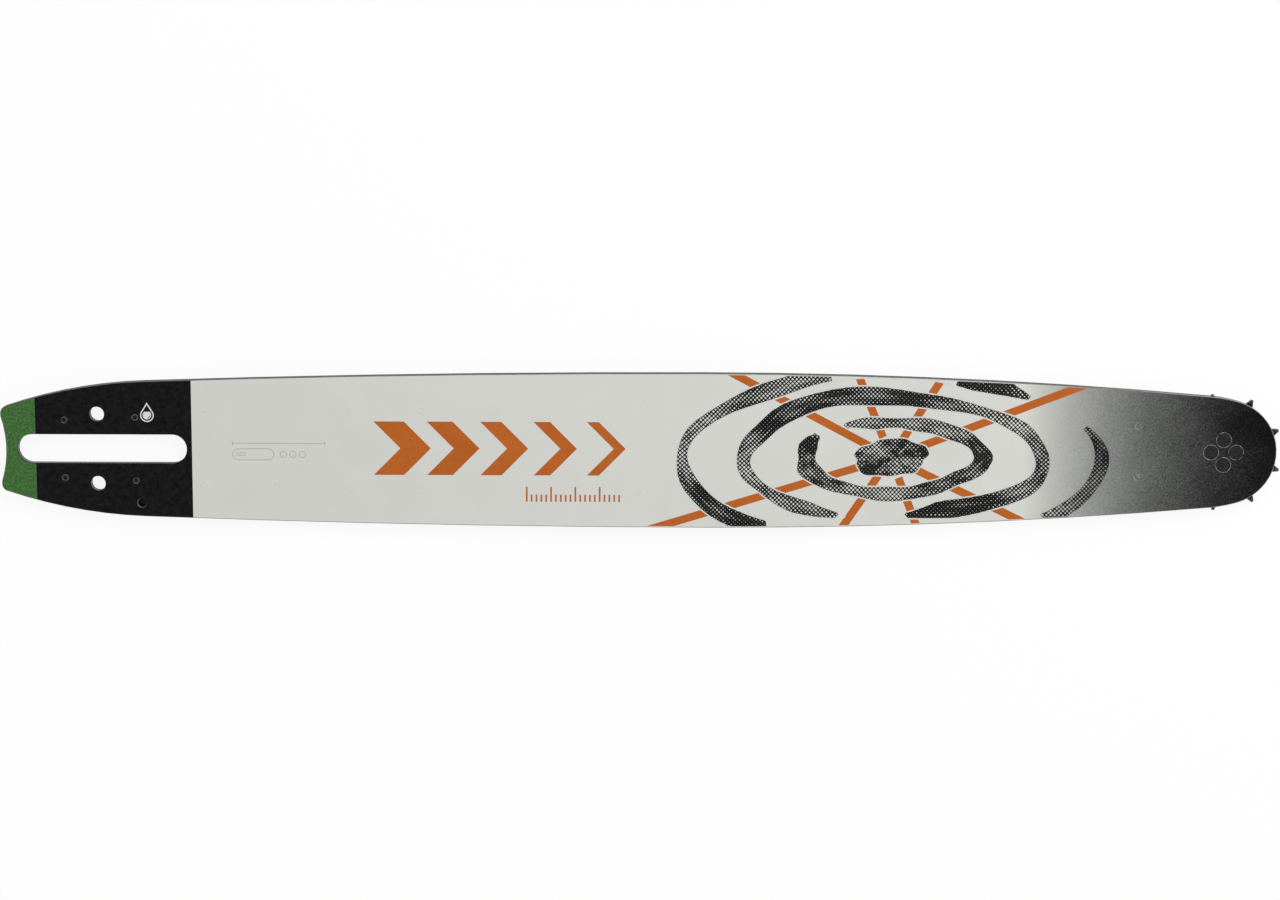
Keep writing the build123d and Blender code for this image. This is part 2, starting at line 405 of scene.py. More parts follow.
def fade_colours(tree, share):
    """The sprayed fade from the bright body to the dark nose: what is left of the share, to the curve's
    power, says how bright it is, and the middle of the fade is a little cooler."""
    node = tree.nodes.new("ShaderNodeValToRGB")
    stops = node.color_ramp.elements
    for step in range(1, FADE_STEPS):
        stops.new(step / FADE_STEPS)
    for stop in stops:
        left = (1 - stop.position) ** FADE_CURVE
        mix = np.array(DARK_NOSE) * (1 - left) + np.array(BRIGHT_BODY) * left
        stop.color = screen(*(mix + np.array(COOL_MIDDLE) * 4 * left * (1 - left)))
    feed(tree, share, node.inputs[0])
    return Signal(tree, node.outputs[0])


def smudge(x, y):
    """A dark patch of overspray: full at its middle, less by the squared distance, gone at an ellipse."""
    along = (x - SMUDGE_X * MM) / (SMUDGE_LENGTH * MM)
    across = (y - SMUDGE_Y * MM) / (SMUDGE_WIDTH * MM)
    return (along * along + across * across).rest().clamped() * SMUDGE_DEPTH


def ground_steel(tree, x):
    """Colour of the edges: oiled dark steel lined along the bar, run bright by the chain at the nose."""
    lines = contrast(noise(tree, speck=0.25, detail=3.0, stretch=(40, 1, 1)), gain=2.0)
    oiled = blend_colour(tree, lines, *OILED_EDGE)
    bright = blend_colour(tree, lines, *BRIGHT_EDGE)
    return blend_colour(tree, fade_reach(x).clamped(), oiled, bright)


def plate_finish():
    """Paint on the outer faces, in zones along the bar, and ground steel on every edge and inner face.
    The walls of the openings in the tail have the black paint's colour."""
    material, tree, inputs = new_material("plate_finish")
    x, y, z = axes(tree)
    grain = noise(tree, speck=0.45)
    mottle = noise(tree, speck=2.4, detail=3.0)
    cloud = noise(tree, speck=16.0)

    reach = fade_reach(x)
    speckle = (grain - NOISE_MIDDLE) * FADE_GRAIN + (cloud - NOISE_MIDDLE) * FADE_CLOUD + smudge(x, y)
    fading = fade_colours(tree, (reach + speckle * reach.clamped()).clamped())
    white = blend_colour(tree, contrast(cloud, gain=1.6), *WHITE_PAINT)
    black = blend_colour(tree, contrast(between(grain, mottle, share=0.5), gain=2.4), *BLACK_PAINT)
    green = blend_colour(tree, contrast(noise(tree, speck=0.8), gain=1.5), *GREEN_PAINT)
    paint = blend_colour(tree, reach.above(0), white, fading)
    paint = blend_colour(tree, x.below(BLACK_END * MM), paint, black)
    paint = blend_colour(tree, x.below(GREEN_END * MM), paint, green)

    middle = (face_top + face_bottom) / 2
    outside = (z - middle).size().above(middle - face_bottom - PAINT_DEPTH * MM)
    painted = on_flat(tree) * outside
    openings = x.above(OPENINGS_START * MM) * x.below(BLACK_END * MM) * y.size().below(OPENINGS_REACH * MM)
    sprayed = openings * painted.rest()
    edges = blend_colour(tree, sprayed, ground_steel(tree, x), black)
    feed(tree, blend_colour(tree, painted, edges, paint), inputs["Base Color"])
    feed(tree, (painted + sprayed).rest(), inputs["Metallic"])
    coat = painted * (PAINT_ROUGHNESS - STEEL_ROUGHNESS) + sprayed * (SPRAY_ROUGHNESS - STEEL_ROUGHNESS)
    feed(tree, coat + STEEL_ROUGHNESS + mottle * MOTTLE_ROUGHNESS, inputs["Roughness"])
    inputs["Specular IOR Level"].default_value = SATIN_SHINE
    bump(tree, inputs, grain * GRAIN_RELIEF + mottle, depth=0.012)
    return material


def plain_steel(name, tones, roughness, stretch):
    """Bare steel with marks drawn out by the stretch, and rougher where it is stained."""
    material, tree, inputs = new_material(name)
    marks = noise(tree, speck=0.3, detail=4.0, stretch=stretch)
    stain = noise(tree, speck=6.0, detail=3.0)
    pattern = contrast(between(marks, stain, share=0.5), gain=2.0)
    feed(tree, blend_colour(tree, pattern, *tones), inputs["Base Color"])
    roughen(tree, inputs, stain, roughness, roughness + STAIN_ROUGHNESS)
    inputs["Metallic"].default_value = 1.0
    bump(tree, inputs, marks, depth=0.006)
    return material


def sprocket_finish():
    """Dark oiled steel with punching marks across its edges, worn bright where the chain meets the tooth
    tips: the wear grows with the distance from the nose axis."""
    material, tree, inputs = new_material("sprocket_finish")
    x, y = axes(tree)[:2]
    marks = noise(tree, speck=0.12, detail=3.0, stretch=(1, 1, 14))
    stain = noise(tree, speck=1.6, detail=3.0)
    out = x - nose_x * MM
    radius = (out * out + y * y).join("SQRT")
    wear_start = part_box("nose_sprocket")[1].x - (nose_x + TOOTH_WEAR) * MM
    worn = (radius - wear_start) / (TOOTH_WEAR * MM) + (stain - NOISE_MIDDLE) * WEAR_RAGGEDNESS
    oiled = blend_colour(tree, contrast(between(marks, stain, share=0.7), gain=1.8), *OILED_TOOTH)
    bright = blend_colour(tree, contrast(between(marks, stain, share=0.6), gain=1.6), *WORN_TOOTH)
    feed(tree, blend_colour(tree, worn.clamped(), oiled, bright), inputs["Base Color"])
    roughen(tree, inputs, stain, TOOTH_ROUGHNESS, TOOTH_ROUGHNESS + STAIN_ROUGHNESS)
    inputs["Metallic"].default_value = 1.0
    bump(tree, inputs, marks, depth=0.003)
    return material


def filler_polymer():
    """Matt black polymer with a moulded grain."""
    material, tree, inputs = new_material("filler_polymer")
    grain = noise(tree, speck=0.6, detail=3.0)
    feed(tree, blend_colour(tree, grain, *FILLER_BLACK), inputs["Base Color"])
    roughen(tree, inputs, grain, low=0.5, high=0.7)
    bump(tree, inputs, grain, depth=0.02)
    return material


def rivet_finish():
    """Rivet faces sprayed as dark as the nose round them, with the steel of the shanks below."""
    material, tree, inputs = new_material("rivet_finish")
    grain = noise(tree, speck=0.45, detail=3.0)
    paint = blend_colour(tree, contrast(grain, gain=2.0), *RIVET_PAINT)
    shank = blend_colour(tree, grain, *RIVET_SHANK)
    painted = on_flat(tree)
    feed(tree, blend_colour(tree, painted, shank, paint), inputs["Base Color"])
    feed(tree, painted.rest(), inputs["Metallic"])
    roughen(tree, inputs, grain, low=0.38, high=0.53)
    inputs["Specular IOR Level"].default_value = SATIN_SHINE
    bump(tree, inputs, grain, depth=0.01)
    return material


def bead_wear_and_highlight(name, tones):
    """Paint worn thin on a raised bead, so that steel shows through it in patches; its bright tone is also
    a painted highlight.
    """
    material, tree, inputs = new_material(name)
    wear = noise(tree, speck=2.2, detail=3.0)
    feed(tree, blend_colour(tree, contrast(wear, gain=2.4), *tones), inputs["Base Color"])
    roughen(tree, inputs, wear, low=0.3, high=0.5)
    inputs["Metallic"].default_value = BEAD_METAL
    return material


def ink(name, tones):
    """Printed ink: an even satin film with slight changes of depth."""
    material, tree, inputs = new_material(name)
    mottle = noise(tree, speck=1.4, detail=3.0)
    cloud = noise(tree, speck=14.0)
    pattern = contrast(between(mottle, cloud, share=0.6), gain=1.8)
    feed(tree, blend_colour(tree, pattern, *tones), inputs["Base Color"])
    roughen(tree, inputs, mottle, low=0.42, high=0.54)
    inputs["Specular IOR Level"].default_value = SATIN_SHINE
    return material


def pale_floor():
    """A white floor that still takes the bar's shadow: to camera, mirror and glass rays most of its light
    is its own."""
    material = bpy.data.materials.new("pale_floor")
    material.use_nodes = True
    tree = material.node_tree
    tree.nodes.clear()
    output = tree.nodes.new("ShaderNodeOutputMaterial")
    matt = tree.nodes.new("ShaderNodeBsdfDiffuse")
    glow = tree.nodes.new("ShaderNodeEmission")
    mix = tree.nodes.new("ShaderNodeMixShader")
    light_path = tree.nodes.new("ShaderNodeLightPath")
    matt.inputs["Color"].default_value = grey(FLOOR_GREY)
    seen = Signal(tree, light_path.outputs["Is Camera Ray"])
    seen = seen + Signal(tree, light_path.outputs["Is Glossy Ray"])
    seen = seen + Signal(tree, light_path.outputs["Is Transmission Ray"])
    feed(tree, seen.clamped() * FLOOR_GLOW, mix.inputs[0])
    tree.links.new(matt.outputs[0], mix.inputs[1])
    tree.links.new(glow.outputs[0], mix.inputs[2])
    tree.links.new(mix.outputs[0], output.inputs["Surface"])
    return material


def grid_points(*coordinates):
    """Points of a grid, row by row, from arrays of coordinates that are spread to one shape."""
    return np.stack(np.broadcast_arrays(*coordinates), axis=-1).reshape(-1, len(coordinates))


def grid_quads(rows, columns, closed_rows=False, closed_columns=False):
    """Quads of a grid of points numbered row by row, wrapped round in each closed direction."""
    row = np.arange(rows if closed_rows else rows - 1)[:, None]
    column = np.arange(columns if closed_columns else columns - 1)[None, :]
    next_row = (row + 1) % rows
    next_column = (column + 1) % columns
    corners = np.broadcast_arrays(
        row * columns + column,
        row * columns + next_column,
        next_row * columns + next_column,
        next_row * columns + column,
    )
    return np.stack(corners, axis=-1).reshape(-1, 4)


def joined(shapes):
    """Several (points, faces) shapes as one: each shape's faces count on from the points before."""
    points, faces = zip(*shapes)
    starts = np.cumsum([0] + [len(part) for part in points[:-1]])
    return np.concatenate(points), np.concatenate([part + start for part, start in zip(faces, starts)])


def make_piece(name, points, faces, material, slot, smooth=False):
    """A mesh piece from points in metres, riding on the bar."""
    mesh = bpy.data.meshes.new(name)
    mesh.from_pydata(points.tolist(), [], faces.tolist())
    mesh.polygons.foreach_set("use_smooth", np.full(len(mesh.polygons), smooth))
    mesh.materials.append(material)
    piece = bpy.data.objects.new(name, mesh)
    bpy.context.scene.collection.objects.link(piece)
    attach(piece, "bar")
    return piece


def turned_over(points):
    """Points carried from the front face to the rear face by half a turn about the bar's length."""
    return points * (1, -1, -1) + (0, 0, face_top + face_bottom)


def make_film(name, shape, layer, material):
    """A film of ink on each face: flat points in millimetres at the layer's height, thickened downwards."""
    flat, faces = shape
    height = face_top + (layer * FILM_STEP + FILM_THICKNESS) * MM
    points = np.column_stack([flat * MM, np.full(len(flat), height)])
    for side, placed in (("front", points), ("rear", turned_over(points))):
        film = make_piece(f"{name}_{side}", placed, faces, material, PLATE_SLOT)
        thickness = film.modifiers.new("thickness", "SOLIDIFY")
        thickness.thickness = FILM_THICKNESS * MM
        thickness.offset = -1


def make_beads(name, centres, radius, half_width, height, material, slot):
    """Low round beads on both faces: an ellipse, half sunk in the face, is carried round each centre."""
    turn = np.linspace(0, 2 * np.pi, BEAD_SAMPLES, endpoint=False)[:, None]
    section = np.linspace(0, 2 * np.pi, SECTION_SAMPLES, endpoint=False)[None, :]
    reach = radius + half_width * np.cos(section)
    ring = grid_points(reach * np.cos(turn), reach * np.sin(turn), height * np.sin(section)) * MM
    quads = grid_quads(BEAD_SAMPLES, SECTION_SAMPLES, True, True)[:, ::-1]
    fronts = [(ring + (x * MM, y * MM, face_top), quads) for x, y in centres]
    rears = [(turned_over(points), faces) for points, faces in fronts]
    make_piece(name, *joined(fronts + rears), material, slot, smooth=True)


def rail_heights(x):
    """Half the height of the flat face at each x, read from the edge of the front plate."""
    plate = frame["nodes"]["front_side_plate"].data
    corners = np.empty(len(plate.vertices) * 3, np.float32)
    plate.vertices.foreach_get("co", corners)
    corners = corners.reshape(-1, 3) / MM
    along, across, height = corners.T
    on_face = height > face_top / MM - FACE_TOLERANCE
    edge = corners[on_face & (along > BLACK_END) & (along < nose_x) & (across > RAIL_INNER)]
    edge = edge[np.argsort(edge[:, 0])]
    return np.interp(x, edge[:, 0], edge[:, 1])


def print_heights(x):
    """Half the height that print may take at each x: up to a margin along the rails."""
    return rail_heights(x) - FILM_MARGIN


def within_margin(points):
    """Points that lie too near a rail, moved back across the bar to the margin."""
    limit = print_heights(points[:, 0])
    return np.column_stack([points[:, 0], np.clip(points[:, 1], -limit, limit)])


def both_sides(places):
    """Each place and its mirror image across the bar's middle line."""
    return [(x, side * y) for x, y in places for side in (1, -1)]


def body_welds():
    """Weld marks down the body: a row on each side, at an even pitch and distance from the rails."""
    x = BODY_WELD_START + BODY_WELD_PITCH * np.arange(BODY_WELD_COUNT)
    return both_sides(zip(x, rail_heights(x) - BODY_WELD_INSET))


def normals(path, closed=False):
    """Unit vectors to the right of a path: at each point, square to the way between its neighbours."""
    way = np.roll(path, -1, 0) - np.roll(path, 1, 0) if closed else np.gradient(path, axis=0)
    return np.stack([way[:, 1], -way[:, 0]], axis=-1) / np.linalg.norm(way, axis=1, keepdims=True)


def band(path, width, closed=False):
    """A line of even width along a path: the path moved to both sides along its normals."""
    path = np.asarray(path, float)
    aside = normals(path, closed) * width / 2
    points = np.stack([path + aside, path - aside], axis=1)
    return points.reshape(-1, 2), grid_quads(len(path), 2, closed)[:, ::-1]


def circle(x, y, radius, first=0.0, last=360.0, samples=48):
    """Points round an arc, with angles in degrees."""
    turn = np.radians(np.linspace(first, last, samples, endpoint=last - first < 360))
    return np.stack([x + radius * np.cos(turn), y + radius * np.sin(turn)], axis=-1)


def capsule(left, right, y, radius, samples):
    """Points round two half circles, the right one first, whose ends straight lines join."""
    right_end = circle(right, y, radius, -90, 90, samples)
    left_end = circle(left, y, radius, 90, 270, samples)
    return np.concatenate([right_end, left_end])


def disc(x, y, radius, side=9):
    """A round patch: a square grid from -1 to 1 whose rows and columns bulge out to the circle."""
    u, v = np.meshgrid(np.linspace(-1, 1, side), np.linspace(-1, 1, side))
    points = grid_points(u * np.sqrt(1 - v**2 / 2), v * np.sqrt(1 - u**2 / 2))
    return points * radius + (x, y), grid_quads(side, side)


def chevrons():
    """Chevrons with straight arms: each is an upper and a lower parallelogram that meet at the point."""
    last_band = CHEVRON_BAND - CHEVRON_THINNING * (CHEVRON_COUNT - 1)
    pitch = (CHEVRON_END - CHEVRON_START - CHEVRON_POINT - last_band) / (CHEVRON_COUNT - 1)
    lead = np.array([0, CHEVRON_POINT, 0])[:, None]
    level = CHEVRON_Y + CHEVRON_HEIGHT * np.array([-0.5, 0, 0.5])[:, None]
    shapes = []
    for i in range(CHEVRON_COUNT):
        start = CHEVRON_START + i * pitch
        edge = np.array([0, CHEVRON_BAND - i * CHEVRON_THINNING])[None, :]
        shapes.append((grid_points(start + lead + edge, level), grid_quads(lead.size, edge.size)))
    return joined(shapes)


def ticks():
    """A scale of upright ticks, the first of every five tall."""
    shapes = []
    for i in range(TICK_COUNT):
        left = TICK_START + i * TICK_PITCH
        right = left + TICK_WIDTH
        top = TICK_FOOT + TICK_HEIGHTS[i % len(TICK_HEIGHTS)]
        points = np.array([(left, TICK_FOOT), (right, TICK_FOOT), (right, top), (left, top)])
        shapes.append((points, np.array([[0, 1, 2, 3]])))
    return joined(shapes)


def rays():
    """Stripes of even width that run from round the rings' middle out to the rails: each of a stripe's
    two edges is a straight line, and a few tries find where it meets the rail's margin."""
    shapes = []
    for angle in np.radians(RAY_ANGLES):
        way = np.array([np.cos(angle), np.sin(angle)])
        aside = np.array([[way[1], -way[0]], [-way[1], way[0]]]) * RAY_WIDTH / 2
        start = np.array([RING_X, RING_Y]) + aside + way * RAY_INNER
        reach = np.zeros(2)
        for _ in range(RAY_TRIES):
            limit = print_heights(start[:, 0] + reach * way[0])
            reach = (np.sign(way[1]) * limit - start[:, 1]) / way[1]
        outer = start + way * reach[:, None]
        shapes.append((np.concatenate([start, outer]), np.array([[0, 2, 3, 1]])))
    return joined(shapes)


def waves(rows, ring, turn, across=0):
    """A sum of sine waves along a stroke. Each row gives a wave's height, its number in a turn, its shift
    from ring to ring and its lean across the stroke."""
    total = 0
    for height, number, shift, lean in rows:
        total = total + height * np.sin(number * turn + shift * ring + lean * across)
    return total


def ring_edges(ring, turn):
    """Inner and outer radius of a stroke. Its middle line is a circle that slow waves push in and out.
    Its width swells along the ring, rounds off at both ends of the stroke, and shrinks along the bar by
    as much as the radius is stretched there. The first ring is the pith: filled in, with no ends."""
    middle = (RING_FIRST + ring * RING_STEP) * (1 + waves(WOBBLE_WAVES, ring, turn))
    along = np.mod(turn - RING_BREAK * ring, 2 * np.pi) / (2 * np.pi)
    to_end = np.minimum(along, 1 - along) - RING_GAP / 2
    taper = np.sqrt(np.clip(to_end / RING_TAPER, 0, 1)) if ring else 1
    half_width = (RING_STROKE + RING_SWELL * waves(SWELL_WAVES, ring, turn)) * taper
    half_width = half_width * np.hypot(np.cos(turn) / RING_STRETCH, np.sin(turn))
    inner = middle - half_width if ring else np.zeros(turn.shape)
    return inner, middle + half_width


def ring_tone(ring, turn, across):
    """Darkness of the ink at places from -1 to 1 across a stroke: waves for slow changes and for pools
    where the ink ran together, bristle streaks that sway along the stroke, and rims that darken with the
    square of the way across."""
    streaks = STREAK_DEPTH * np.sin(STREAK_TURN * across + STREAK_SWAY * np.sin(STREAK_SWAYS * turn))
    tone = TONE_MIDDLE + waves(TONE_WAVES, ring, turn, across) + streaks + TONE_RIM * across**2
    return np.clip(tone, *TONE_RANGE)


def ring_place(turn, radius):
    """Points at a turn and radius about the rings' middle, stretched along the bar."""
    along = RING_STRETCH * radius * np.cos(turn)
    return np.stack([RING_X + along, RING_Y + radius * np.sin(turn)], axis=-1)


def ring_polar(x, y):
    """Turn and radius about the rings' middle, with the stretch along the bar taken out."""
    along = (x - RING_X) / RING_STRETCH
    return np.arctan2(y - RING_Y, along), np.hypot(y - RING_Y, along)


def knock_outs():
    """Bare paint under each stroke: the stroke's two edges, moved outwards by the rim and stopped at the
    rails. Under the pith it is a round patch, drawn out to the pith's edge and rim."""
    points, quads = disc(0, 0, 1, PITH_SAMPLES)
    turn = np.arctan2(points[:, 1], points[:, 0])
    share = np.linalg.norm(points, axis=1)
    shapes = [(ring_place(turn, share * ring_edges(0, turn)[1]) + KNOCK_OUT * points, quads)]
    for ring in range(1, RING_COUNT):
        start = RING_BREAK * ring + RING_GAP * np.pi
        turn = np.linspace(start, start + 2 * np.pi * (1 - RING_GAP), RING_SAMPLES)
        edges = []
        for side, radius in zip((-1, 1), ring_edges(ring, turn)):
            edge = ring_place(turn, radius)
            edges.append(within_margin(edge + side * KNOCK_OUT * normals(edge)))
        points = np.stack(edges, axis=1)
        open_rows = np.ptp(points, axis=1).sum(axis=1) > 0
        quads = grid_quads(RING_SAMPLES, 2)[:, ::-1]
        shapes.append((points.reshape(-1, 2), quads[open_rows[:-1] & open_rows[1:]]))
    return joined(shapes)


def stroke_tone(x, y):
    """Darkness of the rings' ink at points on the face, and 0 beside the strokes."""
    turn, radius = ring_polar(x, y)
    tone = np.zeros(x.shape)
    for ring in range(RING_COUNT):
        inner, outer = ring_edges(ring, turn)
        across = (2 * radius - inner - outer) / np.maximum(outer - inner, NARROWEST)
        tone = np.where(np.abs(across) <= 1, ring_tone(ring, turn, across), tone)
    return tone


def screen_place(steps):
    """Points on the face: steps of half a screen pitch from the rings' middle, along two ways turned by
    45 degrees from the bar's."""
    half_pitch = SCREEN_PITCH / np.sqrt(8)
    first, second = steps[..., 0], steps[..., 1]
    return half_pitch * np.stack([first - second, first + second], axis=-1) + (RING_X, RING_Y)


def full_blocks(inked):
    """The cells of a grid that are part of a full block of two by two, so that no dot stands alone."""
    block = np.pad(inked[:-1, :-1] & inked[1:, :-1] & inked[:-1, 1:] & inked[1:, 1:], 1)
    return block[:-1, :-1] | block[1:, :-1] | block[:-1, 1:] | block[1:, 1:]


def inked_cells():
    """The screen's cells that have their middles on a stroke, as whole pitches along the screen's two
    ways, and the tone of each."""
    span = int(RING_STRETCH * (RING_FIRST + RING_COUNT * RING_STEP) / SCREEN_PITCH)
    count = np.arange(-span, span + 1)
    cells = np.stack(np.meshgrid(count, count), axis=-1).reshape(-1, 2)
    x, y = screen_place(2 * cells).T
    tone = stroke_tone(x, y)
    printed = (tone > 0) & (np.abs(y) < print_heights(x))
    inked = full_blocks(printed.reshape(count.size, count.size)).ravel()
    return cells[inked], tone[inked]


def past_edges(points):
    """How far points lie past the inner and outer edge of every stroke, along the radius."""
    turn, radius = ring_polar(*points.T)
    return radius - np.concatenate([ring_edges(ring, turn) for ring in range(RING_COUNT)])


def drawn_to_edges(points):
    """Points drawn most of the way to what is nearest: a stroke's edge, square to it, or the rail's
    margin. The distance past an edge, over its slope squared and times the slope, is the way back. Points
    with over a screen pitch to go stay where they are."""
    past = past_edges(points)
    nearest = np.abs(past).argmin(axis=0), np.arange(len(points))
    past = past[nearest]
    ahead = [past_edges(points + step)[nearest] for step in SLOPE_STEP * np.eye(2)]
    slope = (np.stack(ahead, axis=-1) - past[:, None]) / SLOPE_STEP
    to_stroke = -past[:, None] * slope / np.sum(slope**2, axis=1, keepdims=True)
    x, y = points.T
    to_rail = np.stack([0 * x, np.sign(y) * print_heights(x) - y], axis=-1)
    stroke_way = np.linalg.norm(to_stroke, axis=1)
    rail_way = np.linalg.norm(to_rail, axis=1)
    way = np.where((stroke_way < rail_way)[:, None], to_stroke, to_rail)
    close = np.minimum(stroke_way, rail_way) < SCREEN_PITCH
    return points + EDGE_PULL * way * close[:, None]


def wedge_areas(corners):
    """Areas of the wedges between a cell's middle and each of its sides: half of the cross product of two
    neighbouring spokes."""
    spokes = corners - corners.mean(axis=1, keepdims=True)
    following = np.roll(spokes, -1, 1)
    return (spokes[..., 0] * following[..., 1] - spokes[..., 1] * following[..., 0]) / 2


def cell_outlines(cells):
    """The points round the cells, and the numbers of each cell's eight. Neighbouring cells share their
    points. A point lies free when it has fewer cells than the four round a corner or the two beside a
    side's middle. Free points are drawn to the strokes' edges, unless that would fold a cell."""
    rim = np.array([(1, 0), (1, 1), (0, 1), (-1, 1), (-1, 0), (-1, -1), (0, -1), (1, -1)])
    rim_steps = (2 * cells[:, None] + rim).reshape(-1, 2)
    steps, outer, uses = np.unique(rim_steps, axis=0, return_inverse=True, return_counts=True)
    outer = outer.reshape(-1, len(rim))
    at_corner = np.all(steps % 2 == 1, axis=1)
    free = uses < np.where(at_corner, 4, 2)
    lattice = screen_place(steps)
    points = np.where(free[:, None], drawn_to_edges(lattice), lattice)
    folded = outer[wedge_areas(points[outer]).min(axis=1) <= 0]
    points[folded] = lattice[folded]
    return within_margin(points), outer


def halftone():
    """The strokes as a screen turned by 45 degrees: each cell is a square round a hole, and the hole's
    area is the share of the cell that the tone leaves white, as far as the cell has room for it."""
    cells, tone = inked_cells()
    points, outer = cell_outlines(cells)
    corners = points[outer]
    areas = wedge_areas(corners)
    room = (2 * areas / np.linalg.norm(np.roll(corners, -1, 1) - corners, axis=-1)).min(axis=1)
    hole_radius = np.minimum(np.sqrt((1 - tone) * areas.sum(axis=1) / np.pi), HOLE_LIMIT * room)
    middles = corners.mean(axis=1, keepdims=True)
    ways = (corners - middles) / np.linalg.norm(corners - middles, axis=-1, keepdims=True)
    hole_points = (middles + ways * hole_radius[:, None, None]).reshape(-1, 2)
    hole = len(points) + np.arange(len(hole_points)).reshape(outer.shape)
    quads = np.stack([outer, np.roll(outer, -1, 1), np.roll(hole, -1, 1), hole], axis=-1).reshape(-1, 4)
    return np.concatenate([points, hole_points]), quads


def drop_outline():
    """An oil drop's line: a round part and two tangents to its tip, less the same shape made smaller."""
    touch = np.degrees(np.arccos(DROP_RADIUS / DROP_TIP))
    round_part = circle(0, 0, DROP_RADIUS, 90 + touch, 450 - touch)
    outside = np.concatenate([round_part, [(0, DROP_TIP)]])
    inside = outside * (1 - DROP_LINE / DROP_RADIUS)
    points = np.stack([outside, inside], axis=1).reshape(-1, 2) + (DROP_X, DROP_Y)
    return points, grid_quads(len(outside), 2, True)[:, ::-1]


def drop_filling():
    """Oil in the drop: rows from side to side of a circle, up to a level with a slight wave."""
    height = np.linspace(OIL_RADIUS * OIL_FOOT, OIL_LEVEL, OIL_ROWS)[:, None]
    side = np.linspace(-1, 1, OIL_COLUMNS)[None, :]
    half_width = np.sqrt(OIL_RADIUS**2 - height**2)
    rise = (height + OIL_RADIUS) / (OIL_LEVEL + OIL_RADIUS)
    wave = OIL_WAVE * np.cos(side * 2 * np.pi) * rise**OIL_CALM
    points = grid_points(DROP_X + half_width * side, DROP_Y + height + wave)
    return points, grid_quads(OIL_ROWS, OIL_COLUMNS)


def drop_glint():
    """A dark line inside the oil's lower right side: a band along an arc."""
    return band(circle(DROP_X, DROP_Y, GLINT_RADIUS, *GLINT_ANGLES, samples=20), GLINT_LINE)


def diagram():
    """Thin lines: a small bar with its slot, a run of chain links beside it and a rule above."""
    length, height = DIAGRAM_BAR
    end = height / 2
    left = DIAGRAM_X + end
    outline = capsule(left, DIAGRAM_X + length - end, DIAGRAM_Y, end, samples=16)
    slot = capsule(left, left + end, DIAGRAM_Y, end * DIAGRAM_SLOT, samples=8)
    lines = [band(outline, DIAGRAM_LINE, closed=True), band(slot, DIAGRAM_LINE, closed=True)]
    for i in range(DIAGRAM_LINKS):
        middle = DIAGRAM_X + length + (i + 1) * DIAGRAM_LINK_PITCH
        link = circle(middle, DIAGRAM_Y, DIAGRAM_LINK / 2, samples=28)
        lines.append(band(link, DIAGRAM_LINE, closed=True))
    rule_y = DIAGRAM_Y + height
    rule_ends = (DIAGRAM_X, DIAGRAM_X + DIAGRAM_RULE)
    for x in rule_ends:
        mark = [(x, rule_y - DIAGRAM_RULE_END / 2), (x, rule_y + DIAGRAM_RULE_END / 2)]
        lines.append(band(mark, DIAGRAM_LINE))
    lines.append(band([(x, rule_y) for x in rule_ends], DIAGRAM_LINE))
    return joined(lines)


def finish_nodes(material, *names):
    """Gives a material to the solids of these names."""
    for name in names:
        slots = frame["nodes"][name].data.materials
        slots.clear()
        slots.append(material)


def make_floor():
    """A wide square just under the lowest bead."""
    reach = FLOOR_REACH * MM
    level = face_bottom - FLOOR_GAP * MM
    mesh = bpy.data.meshes.new("floor")
    corners = [(x * reach, y * reach, level) for x, y in ((-1, -1), (1, -1), (1, 1), (-1, 1))]
    mesh.from_pydata(corners, [], [(0, 1, 2, 3)])
    mesh.materials.append(pale_floor())
    floor = bpy.data.objects.new("floor", mesh)
    bpy.context.scene.collection.objects.link(floor)


def light_room():
    """A bright band round the horizon under a dim ceiling, so that dark paint stays dark from above, and
    one key lamp."""
    world = bpy.data.worlds.new("room")
    bpy.context.scene.world = world
    world.use_nodes = True
    tree = world.node_tree
    background = tree.nodes["Background"]
    ceiling = ((axes(tree, "Generated")[2] - CEILING_START) / CEILING_BLEND).clamped()
    light = blend_colour(tree, ceiling, grey(HORIZON_LIGHT), grey(CEILING_LIGHT))
    feed(tree, light, background.inputs["Color"])
    background.inputs["Strength"].default_value = 1.0

    lamp = bpy.data.lights.new("key", "AREA")
    lamp.shape = "RECTANGLE"
    lamp.size, lamp.size_y = np.array(KEY_SIZE) * MM
    lamp.energy = KEY_POWER
    key = bpy.data.objects.new("key", lamp)
    key.location = Vector(KEY_PLACE) * MM
    aim = Vector(KEY_PLACE) - Vector(KEY_TARGET)
    key.rotation_euler = aim.to_track_quat("Z", "Y").to_euler()
    bpy.context.scene.collection.objects.link(key)


def set_camera():
    """Looks down on the front face from a little beyond the upper rail, with the nose to the right."""
    tilt = np.radians(CAMERA_TILT)
    data = bpy.data.cameras.new("camera")
    data.sensor_width = SENSOR_WIDTH
    data.lens = SENSOR_WIDTH * CAMERA_DISTANCE / VIEW_WIDTH
    camera = bpy.data.objects.new("camera", data)
    way = np.array([0, np.sin(tilt), np.cos(tilt)])
    camera.location = (np.array(CAMERA_TARGET) + CAMERA_DISTANCE * way) * MM
    camera.rotation_euler = (-tilt, 0, np.radians(CAMERA_ROLL))
    bpy.context.scene.collection.objects.link(camera)
    bpy.context.scene.camera = camera


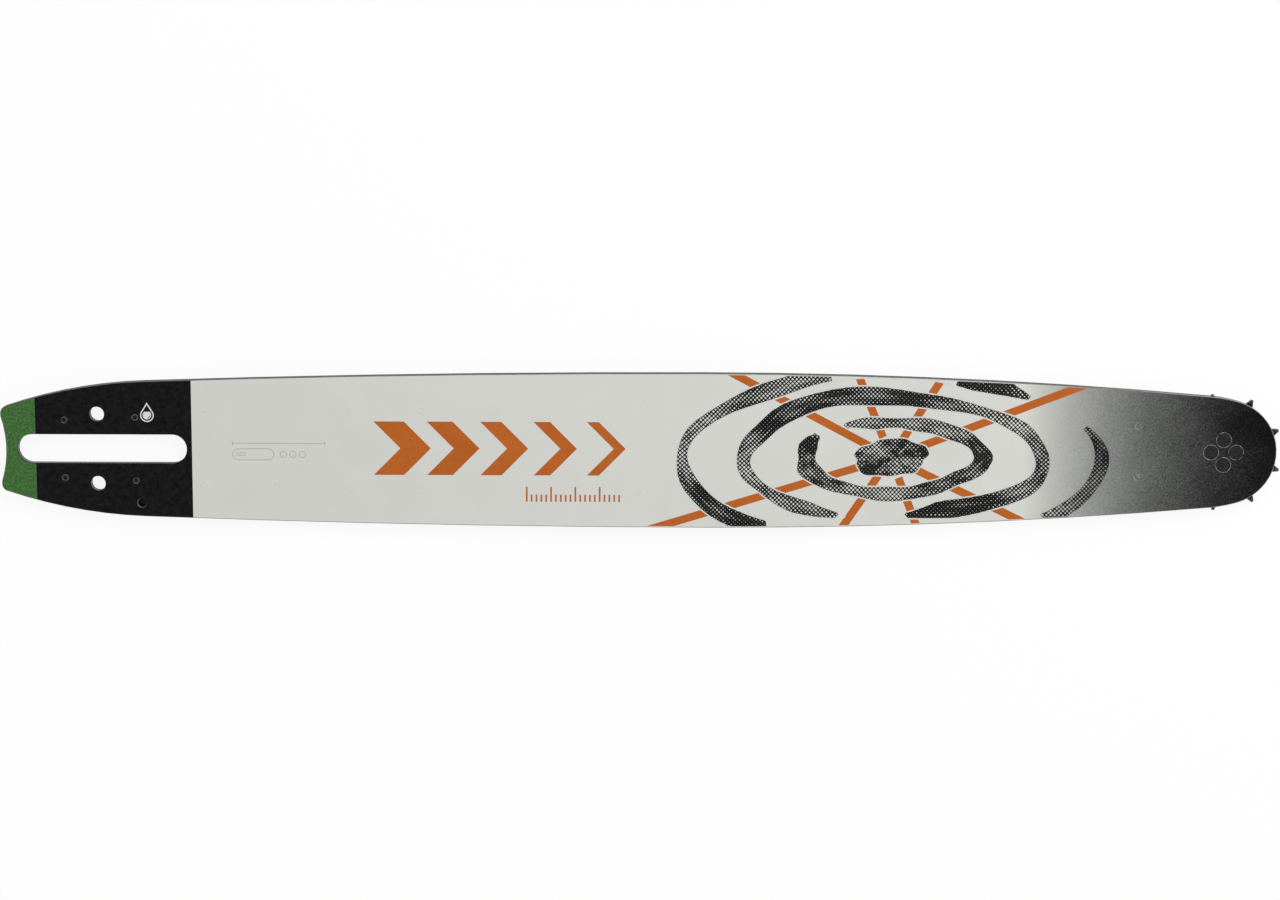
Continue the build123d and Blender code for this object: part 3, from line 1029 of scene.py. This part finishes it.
# Solids keep their shape and get their finish
paint = plate_finish()
nodes = sorted(frame["nodes"])
core_steel = plain_steel("core_steel", CORE_STEEL, roughness=0.34, stretch=(30, 1, 1))
bearing_steel = plain_steel("bearing_steel", BEARING_STEEL, roughness=0.2, stretch=(2, 2, 1))
finish_nodes(paint, "front_side_plate", "rear_side_plate")
finish_nodes(core_steel, "core_plate")
finish_nodes(filler_polymer(), *[name for name in nodes if name.startswith("core_filler")])
finish_nodes(sprocket_finish(), "nose_sprocket")
finish_nodes(bearing_steel, *[name for name in nodes if name.startswith("bearing")])
finish_nodes(rivet_finish(), "nose_rivets")

# Print on both faces, from the lowest film to the highest in each place
tail_welds = both_sides(TAIL_WELDS)
orange_ink = ink("orange_ink", ORANGE_INK)
black_ink = ink("black_ink", BLACK_INK)
white_ink = ink("white_ink", WHITE_INK)
grey_ink = ink("grey_ink", GREY_INK)
make_film("chevron_print", chevrons(), 0, orange_ink)
make_film("tick_print", ticks(), 0, orange_ink)
make_film("ray_print", rays(), 0, orange_ink)
make_film("ring_ground", knock_outs(), 1, paint)
make_film("ring_print", halftone(), 2, black_ink)
make_film("drop_line_print", drop_outline(), 0, white_ink)
make_film("drop_oil_print", drop_filling(), 0, white_ink)
make_film("drop_glint_print", drop_glint(), 1, black_ink)
make_film("diagram_print", diagram(), 0, grey_ink)
make_film("tail_weld_paint", joined([disc(x, y, WELD_RADIUS) for x, y in tail_welds]), 0, black_ink)

# Weld marks and rivet rims; the worn beads' bright tone is partly wear and partly a painted highlight
weld = (WELD_RADIUS, WELD_HALF_WIDTH, WELD_HEIGHT)
body_weld = (WELD_RADIUS, WELD_HALF_WIDTH, BODY_WELD_HEIGHT)
rivet_rim = (RIVET_RADIUS, RIM_HALF_WIDTH, RIM_HEIGHT)
rivets = circle(nose_x, 0, RIVET_CIRCLE / 2, samples=RIVET_COUNT)
make_beads("tail_weld_marks", tail_welds, *weld, bead_wear_and_highlight("tail_bead_wear_and_highlight", TAIL_BEAD_WEAR_AND_HIGHLIGHT), PLATE_SLOT)
make_beads("body_weld_marks", body_welds(), *body_weld, ink("body_bead", WHITE_PAINT), PLATE_SLOT)
make_beads("nose_weld_marks", both_sides(NOSE_WELDS), *weld, bead_wear_and_highlight("nose_bead_wear_and_highlight", NOSE_BEAD_WEAR_AND_HIGHLIGHT), PLATE_SLOT)
make_beads("rivet_rims", rivets, *rivet_rim, bead_wear_and_highlight("rivet_bead_wear_and_highlight", RIVET_BEAD_WEAR_AND_HIGHLIGHT), RIVET_SLOT)

# Room and camera
make_floor()
light_room()
set_camera()
bpy.context.scene.view_settings.view_transform = "Standard"
